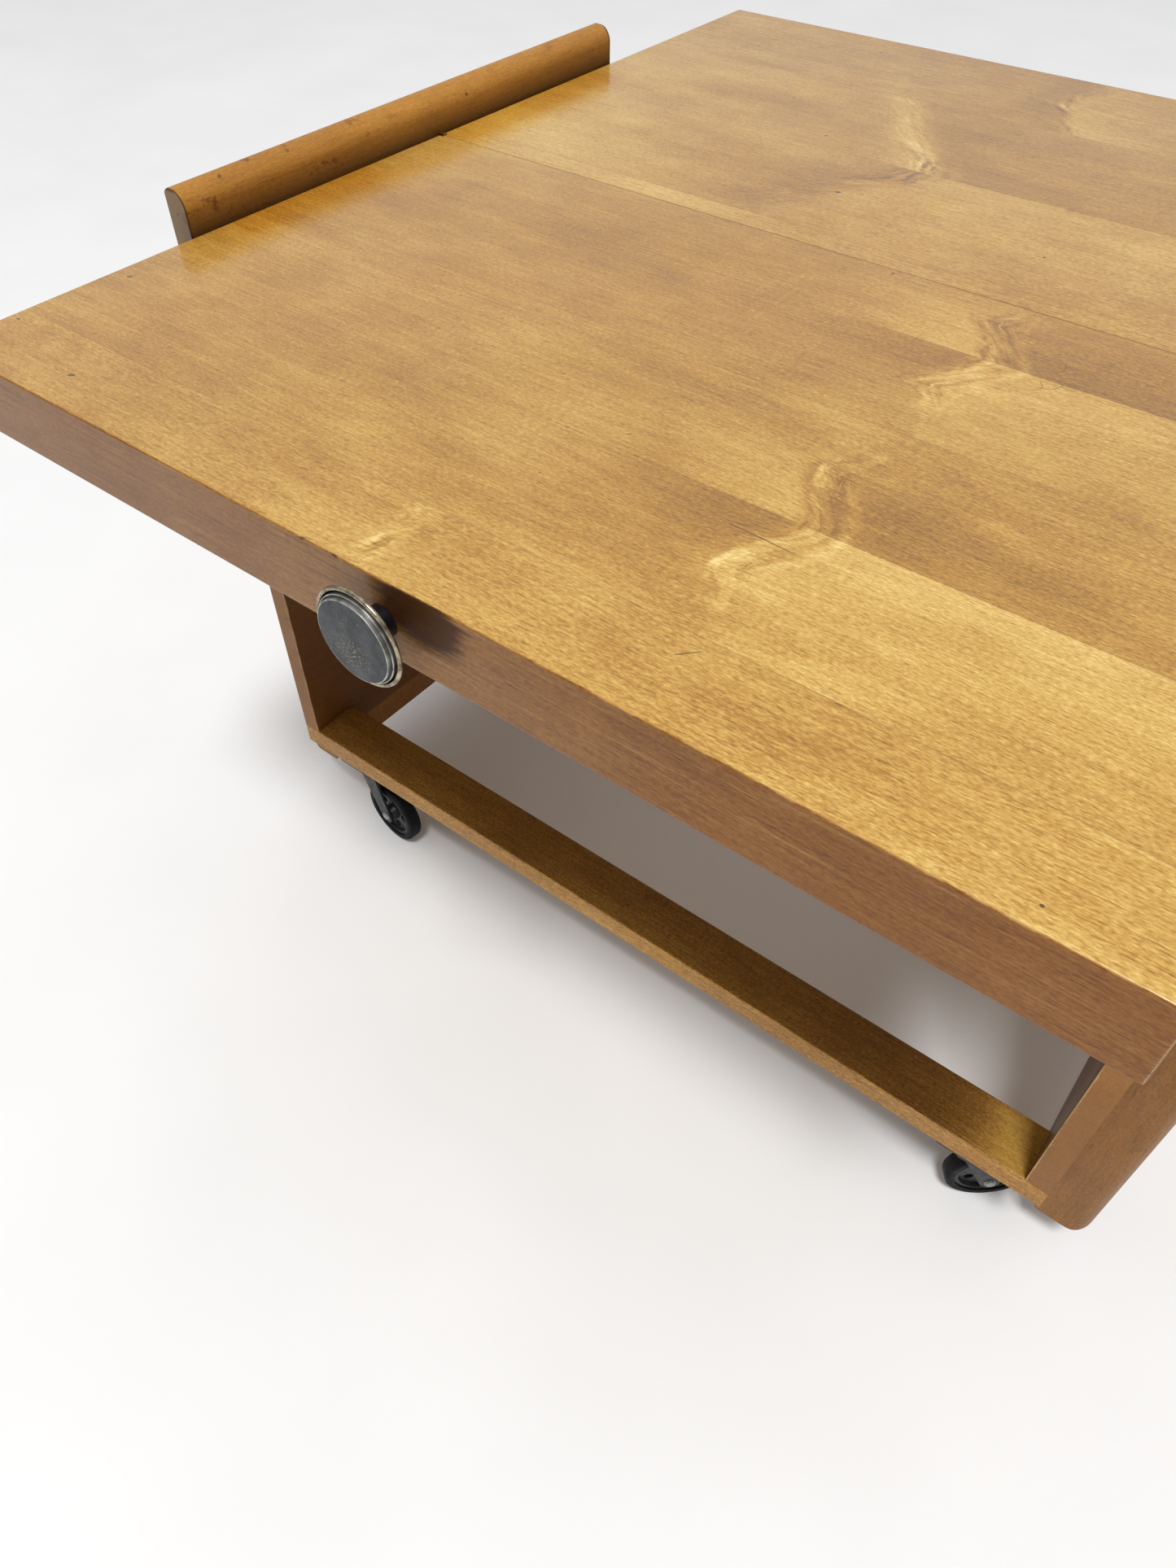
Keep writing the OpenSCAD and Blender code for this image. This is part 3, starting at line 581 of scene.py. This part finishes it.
# marks are (x, y, half length, half width, slant)
NEAR_LOOKS = [
    {"matched": near_y[1], "seed": 4.0, "tone": 0.05, "figure": FRONT_PALE,
     "marks": [(-0.444, -0.464, 0.003, 0.0015, 0.1), (-0.340, -0.490, 0.004, 0.003, 0.4),
               (0.170, -0.466, 0.009, 0.0010, 1.1), (0.384, -0.507, 0.002, 0.0016, 0.0)]},
    {"matched": near_y[2], "seed": 1.0, "tone": 0.03, "figure": DARK_LEFT,
     "marks": [(0.145, -0.356, 0.045, 0.0007, -0.05), (-0.437, -0.368, 0.0035, 0.0025, 0.6)]},
    {"matched": near_y[2], "seed": 1.0, "tone": 0.0, "figure": PALE_LEFT,
     "marks": [(0.017, -0.312, 0.0025, 0.0012, 1.0)]},
    {"matched": near_y[4], "seed": 2.0, "tone": 0.0, "figure": DARK_LEFT,
     "arcs": [(0.197, -0.091, 0.009, 0.0), (0.206, -0.080, 0.011, -20.0)]},
    {"matched": near_y[4], "seed": 2.0, "tone": -0.03, "figure": PALE_LEFT,
     "marks": [(0.041, 0.006, 0.0014, 0.004, 0.0)], "arcs": [(0.197, -0.058, 0.012, 40.0)]},
]
FAR_LOOKS = [
    {"matched": far_y[1], "seed": 5.0, "tone": 0.06},
    {"matched": far_y[2], "seed": 3.0, "tone": 0.03, "figure": FAR_DARK,
     "marks": [(-0.323, 0.091, 0.0026, 0.0015, 0.5), (0.124, 0.107, 0.0014, 0.003, 0.0),
               (-0.075, 0.123, 0.004, 0.003, 0.0)],
     "knots": [(-0.041, 0.193, 0.003, 0.012, 1.2), (-0.033, 0.186, 0.002, 0.010, 1.0)]},
    {"matched": far_y[2], "seed": 3.0, "tone": 0.0, "figure": FAR_PALE,
     "marks": [(-0.154, 0.238, 0.0014, 0.004, 0.3)],
     "knots": [(-0.043, 0.228, 0.005, 0.013, -1.2), (-0.033, 0.224, 0.003, 0.010, -1.0)]},
    {"matched": far_y[3], "seed": 6.0, "tone": -0.02, "figure": BACK_PALE,
     "marks": [(-0.235, 0.500, 0.0022, 0.003, 0.4)]},
]
for i, look in enumerate(NEAR_LOOKS):
    wood = plank_material(f"near_plank_{i + 1}_wood", near_y[i], near_y[i + 1], look, front=i == 0)
    dress(NEAR_PLANKS[i], wood)
for i, look in enumerate(FAR_LOOKS):
    dress(FAR_PLANKS[i], plank_material(f"far_plank_{i + 1}_wood", far_y[i], far_y[i + 1], look))

# ---- the base ----

for side, seed in (("left", 11.0), ("right", 12.0)):
    dress(f"end_panel_{side}", timber(f"end_panel_{side}_wood", "y", seed, RUSSET, 0.04, panel=side,
                                      contrast=0.6))
    dress(f"outer_cheek_{side}", timber(f"outer_cheek_{side}_wood", "z", seed + 2, RUSSET))
    dress(f"side_bearer_{side}", timber(f"side_bearer_{side}_wood", "y", seed + 4, PLAIN, coat=0.0))
    dress(f"slide_guide_{side}", timber(f"slide_guide_{side}_wood", "y", seed + 6, PLAIN, coat=0.0))
    dress(f"slide_runner_{side}", timber(f"slide_runner_{side}_wood", "y", seed + 8, PLAIN, coat=0.0))
for end, seed in (("front", 31.0), ("rear", 32.0)):
    rail_low, rail_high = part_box(f"bottom_rail_{end}")
    # the patch stands for light on the front rail in the photo, as wood colour; the rear rail repeats it
    # rail_edge: the outer face, painted paler than the rail's shaded top; the dip beside the patch is painted
    # shade
    rail_edge = rail_low.y if end == "front" else rail_high.y
    dress(f"bottom_rail_{end}", timber(f"bottom_rail_{end}_wood", "x", seed, UMBER, 0.12,
                                       glow=(0.440, 0.034, 0.30), edge_y=rail_edge, contrast=1.3))
    dress(f"upper_stretcher_{end}", timber(f"upper_stretcher_{end}_wood", "x", seed + 2, RUSSET, -0.1))
dress("guide_stops", timber("guide_stop_wood", "y", 41.0, RUSSET, coat=0.0))

zinc = metal("dull_zinc", linear(176, 176, 172), linear(120, 118, 112), 0.38, 60.0)
brass = metal("aged_brass", linear(178, 144, 76), linear(112, 84, 40), 0.34, 60.0)
for node in ("rail_screws", "caster_screws", "runner_screws", "near_hinge_screws", "far_hinge_screws",
             "knob_bolt"):
    dress(node, zinc)
for side in ("left", "right"):
    dress(f"near_hinge_plate_{side}", brass)
    dress(f"far_hinge_plate_{side}", brass)
    dress(f"hinge_pin_{side}", zinc)

# ---- knob and casters ----

KNOB_R = (KNOB_HIGH.z - KNOB_LOW.z) / 2
KNOB_REACH = FRONT_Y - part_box("knob_face")[0].y
KNOB_BACK = FRONT_Y - KNOB_HIGH.y
STEM_R = (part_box("knob_stem")[1].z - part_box("knob_stem")[0].z) / 2
SEAT = KNOB_REACH - 0.0066
STEP = KNOB_REACH - 0.0028
FACE_R = KNOB_R - 0.0056
BEAD_R = 0.0016


def eased(corners, radius, steps=4):
    """The same outline with each inner corner turned into a small curve."""
    points = [corners[0]]
    for before, corner, after in zip(corners, corners[1:], corners[2:]):
        before, corner, after = Vector(before), Vector(corner), Vector(after)
        cut_in = min(radius, (before - corner).length * 0.45)
        cut_out = min(radius, (after - corner).length * 0.45)
        start = corner + (before - corner).normalized() * cut_in
        end = corner + (after - corner).normalized() * cut_out
        for i in range(steps + 1):
            t = i / steps
            points.append(tuple(start * (1 - t) ** 2 + corner * 2 * t * (1 - t) + end * t ** 2))
    points.append(corners[-1])
    return points


def lathe(name, outline, origin, axis, segments=160):
    """Turns an outline of (radius, distance along the axis) round an axis; both its ends lie on the axis."""
    turn = Vector((0, 0, 1)).rotation_difference(Vector(axis))
    mesh = bmesh.new()
    rings = []
    for radius, reach in outline:
        if radius < 1e-6:
            rings.append([mesh.verts.new(Vector(origin) + turn @ Vector((0, 0, reach)))])
            continue
        ring = []
        for i in range(segments):
            angle = 2 * math.pi * i / segments
            ring.append(mesh.verts.new(Vector(origin) + turn @ Vector((radius * math.cos(angle),
                                                                       radius * math.sin(angle), reach))))
        rings.append(ring)
    for low, high in zip(rings, rings[1:]):
        for i in range(segments):
            j = (i + 1) % segments
            corners = [low[i % len(low)], low[j % len(low)], high[j % len(high)], high[i % len(high)]]
            mesh.faces.new(list(dict.fromkeys(corners)))
    bmesh.ops.recalc_face_normals(mesh, faces=mesh.faces)
    data = bpy.data.meshes.new(name)
    mesh.to_mesh(data)
    mesh.free()
    data.polygons.foreach_set("use_smooth", [True] * len(data.polygons))
    piece = bpy.data.objects.new(name, data)
    bpy.context.scene.collection.objects.link(piece)
    return piece


def stand_for(piece, node, body, material):
    """Gives a finer piece its material and body, and hides the CAD node that it stands for."""
    piece.data.materials.append(material)
    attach(piece, body)
    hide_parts(node)


def knob_radius(n, place):
    """Distance from the knob's axis."""
    x, _, z = n.split(place)
    return n.math("SQRT", n.add(n.squared(n.add(x, -KNOB.x)), n.squared(n.add(z, -KNOB.z))))


def pewter():
    """Dark worn pewter: cloudy, scuffed towards the middle, with bright rubbed arrises."""
    n = Nodes("worn_pewter")
    place = n.place()
    radius = knob_radius(n, place)
    cloud = n.noise(place, 90.0, 4, 0.65)
    colour = n.mix(n.between(cloud, -0.25, 0.25), linear(54, 56, 58), linear(84, 86, 88))
    scuff = n.noise(place, 620.0, 4, 0.8)
    x, _, z = n.split(place)
    low_left = n.mul(bell(n, n.add(x, -(KNOB.x - 0.003)), 0.013), bell(n, n.add(z, -(KNOB.z - 0.010)), 0.011))
    scattered = n.between(n.noise(place, 130.0, 2), 0.08, 0.25, 0.0, 0.7)
    cluster = n.math("MAXIMUM", low_left, scattered)
    scuffs = n.mul(n.between(scuff, 0.04, 0.11), cluster)
    colour = n.mix(n.mul(scuffs, 0.85), colour, linear(186, 176, 148))
    pits = n.between(n.noise(place, 650.0, 2), 0.2, 0.3)
    colour = n.mix(n.mul(pits, 0.6), colour, linear(40, 38, 34))
    rubbed = n.math("MAXIMUM", bell(n, n.add(radius, -(FACE_R - 0.0003)), 0.00035),
                    bell(n, n.add(radius, -(FACE_R + 0.0015)), 0.0003))
    uneven = n.between(n.noise(place, 160.0, 3), -0.2, 0.15, 0.35, 1.0)
    colour = n.mix(n.mul(rubbed, uneven), colour, linear(205, 202, 192))
    n.surface(Base_Color=colour, Metallic=0.85,
              Roughness=n.between(n.mul(rubbed, uneven), 0.0, 1.0, 0.44, 0.24))
    n.bump(n.add(n.mul(cloud, 0.6), n.add(n.mul(scuffs, 0.5), n.mul(pits, -1.0))), 0.00012)
    return n.material


def rim_bronze():
    """Aged bronze: nearly black in the dish, polished by hands along the bead."""
    n = Nodes("rubbed_bronze")
    place = n.place()
    radius = knob_radius(n, place)
    bead = n.between(radius, KNOB_R - 0.0030, KNOB_R - 0.0022)
    tarnish = n.noise(place, 130.0, 4, 0.65)
    polished = n.mix(n.between(tarnish, -0.2, 0.2), linear(104, 92, 76), linear(196, 182, 156))
    colour = n.mix(bead, linear(30, 25, 18), polished)
    n.surface(Base_Color=colour, Metallic=0.95, Roughness=n.between(bead, 0.0, 1.0, 0.5, 0.24))
    n.bump(tarnish, 0.00005)
    return n.material


def make_knob():
    """Turned shells for the knob's stem, flange with its beaded rim, and stepped face."""
    origin = (KNOB.x, FRONT_Y, KNOB.z)
    outward = (0, -1, 0)
    stem = lathe("knob_stem_shell", eased([(0, 0.0002), (STEM_R, 0.0002), (STEM_R, KNOB_BACK + 0.0004),
                                           (0, KNOB_BACK + 0.0004)], 0.0004), origin, outward)
    bead_at = (KNOB_R - BEAD_R, KNOB_REACH - 0.0057)
    bead = []
    for i in range(17):
        angle = math.radians(-105 + 15 * i)
        bead.append((bead_at[0] + BEAD_R * math.cos(angle), bead_at[1] + BEAD_R * math.sin(angle)))
    flange = lathe("knob_flange_shell",
                   [(0, KNOB_BACK), (STEM_R + 0.002, KNOB_BACK), (STEM_R + 0.004, KNOB_BACK + 0.0003)] + bead
                   + [(bead[-1][0] - 0.0004, SEAT), (0, SEAT)], origin, outward)
    block = [(0, SEAT), (FACE_R + 0.0018, SEAT), (FACE_R + 0.0018, STEP), (FACE_R + 0.0007, STEP),
             (FACE_R + 0.0003, STEP - 0.0006), (FACE_R, STEP), (FACE_R, KNOB_REACH - 0.0002),
             (FACE_R * 0.5, KNOB_REACH - 0.00005), (0, KNOB_REACH)]
    face = lathe("knob_face_shell", eased(block, 0.0006), origin, outward)
    enamel = metal("black_enamel", linear(24, 24, 32), linear(12, 12, 16), 0.3, 40.0, metallic=0.0, wear=0.05)
    stand_for(stem, "knob_stem", "near_leaf", enamel)
    stand_for(flange, "knob_flange", "near_leaf", rim_bronze())
    stand_for(face, "knob_face", "near_leaf", pewter())


make_knob()
grey_paint = metal("grey_paint", linear(32, 33, 35), linear(16, 17, 18), 0.42, 50.0, metallic=0.2, wear=0.1)
hub_plastic = metal("hub_grey", linear(20, 21, 26), linear(10, 11, 14), 0.45, 60.0, metallic=0.0, wear=0.08)
tyre_rubber = rubber("black_rubber")
for corner in CORNERS:
    dress(f"caster_plate_{corner}", grey_paint)
    dress(f"caster_fork_{corner}", grey_paint)
    dress(f"caster_axle_{corner}", zinc)
    dress(f"caster_hub_{corner}", hub_plastic)
    dress(f"caster_tyre_{corner}", tyre_rubber)

# ---- stage, lights, camera ----

STAGE_HALF = 9.0
FLOOR_LOW = (0.86, 0.86, 0.86)
FLOOR_HIGH = (0.90, 0.90, 0.90)
DOME_BASE = 0.41
DOME_BRIGHT = 0.71
DOME_TOWARDS = (-0.30, 0.40, 0.85)
KEY_AT = (2.2, -3.9, 9.6)
KEY_SIZE = (1.8, 1.8)
KEY_WATTS = 730.0
TOP_MIDDLE = (0.0, 0.0, TOP_Z)
CAMERA_AT = (0.408, SEAM_Y - 0.8665, TOP_Z + 0.400)
AZIMUTH = math.radians(38.3)
ELEVATION = math.radians(48.1)
ROLL = math.radians(-0.34)
SENSOR_MM = 36.0
LENS_MM = 26.01


def make_floor():
    """A plain pale floor, wide enough for every view."""
    mesh = bpy.data.meshes.new("floor")
    h = STAGE_HALF
    mesh.from_pydata([(-h, -h, 0), (h, -h, 0), (h, h, 0), (-h, h, 0)], [], [(0, 1, 2, 3)])
    floor = bpy.data.objects.new("floor", mesh)
    bpy.context.scene.collection.objects.link(floor)
    n = Nodes("pale_floor")
    cloud = n.between(n.noise(n.place(), 3.0, 3), -0.3, 0.3)
    n.surface(Base_Color=n.mix(cloud, FLOOR_LOW, FLOOR_HIGH), Roughness=0.9)
    mesh.materials.append(n.material)


def soft_light(name, place, target, size, watts):
    """A white area light aimed at a point."""
    data = bpy.data.lights.new(name, "AREA")
    data.shape = "RECTANGLE"
    data.size, data.size_y = size
    data.energy = watts
    lamp = bpy.data.objects.new(name, data)
    lamp.location = place
    lamp.rotation_mode = "QUATERNION"
    lamp.rotation_quaternion = (Vector(target) - Vector(place)).to_track_quat("-Z", "Y")
    bpy.context.scene.collection.objects.link(lamp)


def make_world(base, bright, towards):
    """Pale studio dome, brighter on the side that the top mirrors."""
    world = bpy.data.worlds.new("studio")
    world.use_nodes = True
    tree = world.node_tree
    place = tree.nodes.new("ShaderNodeTexCoord")
    toward = tree.nodes.new("ShaderNodeVectorMath")
    toward.operation = "DOT_PRODUCT"
    toward.inputs[1].default_value = Vector(towards).normalized()
    tree.links.new(place.outputs["Generated"], toward.inputs[0])
    spread = tree.nodes.new("ShaderNodeMapRange")
    spread.interpolation_type = "SMOOTHSTEP"
    for name, number in (("From Min", 0.35), ("From Max", 0.9), ("To Min", base), ("To Max", bright)):
        spread.inputs[name].default_value = number
    tree.links.new(toward.outputs["Value"], spread.inputs["Value"])
    tree.links.new(spread.outputs["Result"], tree.nodes["Background"].inputs["Strength"])
    tree.nodes["Background"].inputs["Color"].default_value = (1, 1, 1, 1)
    bpy.context.scene.world = world


def make_camera():
    """A wide view from above the near right corner, as from a standing person."""
    forward = Vector((-math.sin(AZIMUTH) * math.cos(ELEVATION), math.cos(AZIMUTH) * math.cos(ELEVATION),
                      -math.sin(ELEVATION)))
    data = bpy.data.cameras.new("camera")
    data.sensor_width = SENSOR_MM
    data.lens = LENS_MM
    camera = bpy.data.objects.new("camera", data)
    camera.location = CAMERA_AT
    camera.rotation_mode = "QUATERNION"
    turn = Matrix.Rotation(ROLL, 4, "Z").to_quaternion()
    camera.rotation_quaternion = forward.to_track_quat("-Z", "Y") @ turn
    bpy.context.scene.collection.objects.link(camera)
    bpy.context.scene.camera = camera


make_floor()
make_world(DOME_BASE, DOME_BRIGHT, DOME_TOWARDS)
soft_light("key", KEY_AT, TOP_MIDDLE, KEY_SIZE, KEY_WATTS)
make_camera()
bpy.context.scene.view_settings.view_transform = "Standard"
